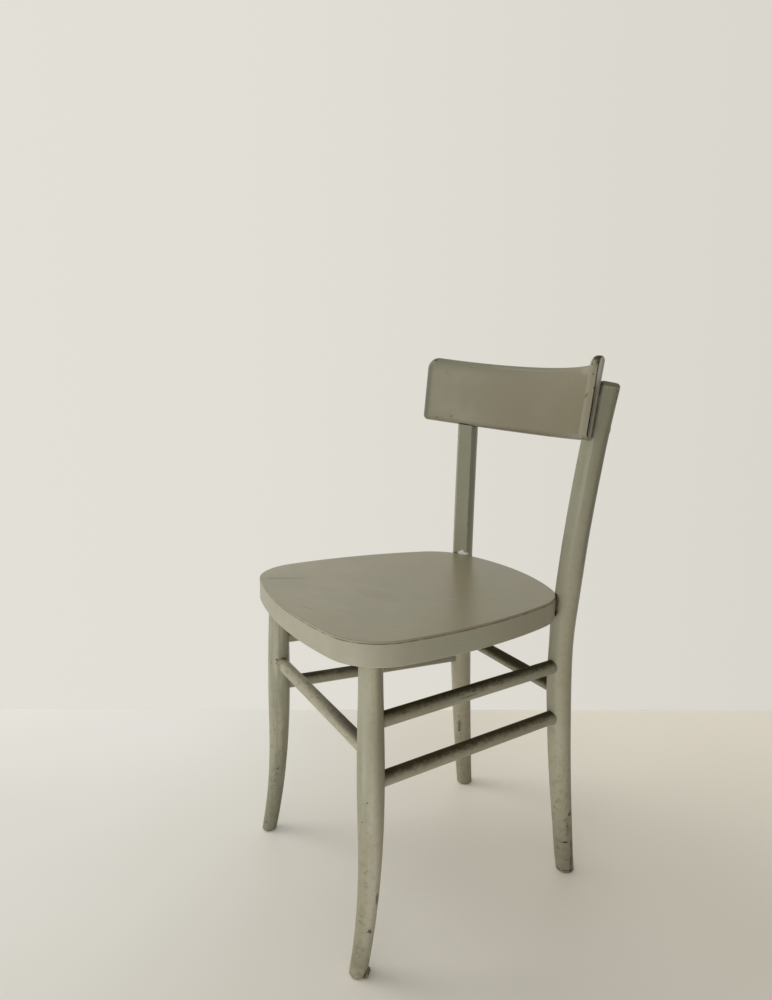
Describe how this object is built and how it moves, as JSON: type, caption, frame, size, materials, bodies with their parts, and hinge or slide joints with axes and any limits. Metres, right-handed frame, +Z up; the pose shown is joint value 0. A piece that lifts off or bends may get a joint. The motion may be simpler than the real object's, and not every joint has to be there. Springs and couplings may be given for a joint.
{
  "type": "wooden chair",
  "caption": "Painted bentwood kitchen chair: flat plywood seat on a bent ring, sabre front legs, curved one-piece rear legs, round stretchers and a deep curved backrest board.",
  "frame": {"origin": "middle of the chair's box, on the floor under it", "axes": "+Z up, -Y towards the front of the seat, +X to the left of the person who sits in it"},
  "size_m": [0.4268, 0.479, 0.8008],
  "materials": {
    "seat_paint": "satin grey-green paint over birch plywood and bent beech",
    "back_paint": "satin grey-green paint over bent beech",
    "frame_paint": "satin grey-green paint over bent beech",
    "pad": "worn dark plastic glides",
    "steel": "dull zinc plated"
  },
  "bodies": {
    "root": {"seat_panel": "seat_paint", "seat_ring": "seat_paint", "backrest_board": "back_paint", "front_leg_left": "frame_paint", "front_leg_right": "frame_paint", "rear_leg_left": "frame_paint", "rear_leg_right": "frame_paint", "side_stretcher_upper_left": "frame_paint", "side_stretcher_upper_right": "frame_paint", "side_stretcher_lower_left": "frame_paint", "side_stretcher_lower_right": "frame_paint", "front_stretcher": "frame_paint", "rear_stretcher": "frame_paint", "foot_pad_front_left": "pad", "foot_pad_front_right": "pad", "foot_pad_rear_left": "pad", "foot_pad_rear_right": "pad", "foot_pad_nails": "steel", "backrest_screws": "steel", "ring_coach_screws": "steel", "ring_washers": "steel", "panel_pins": "steel"}
  },
  "joints": []
}
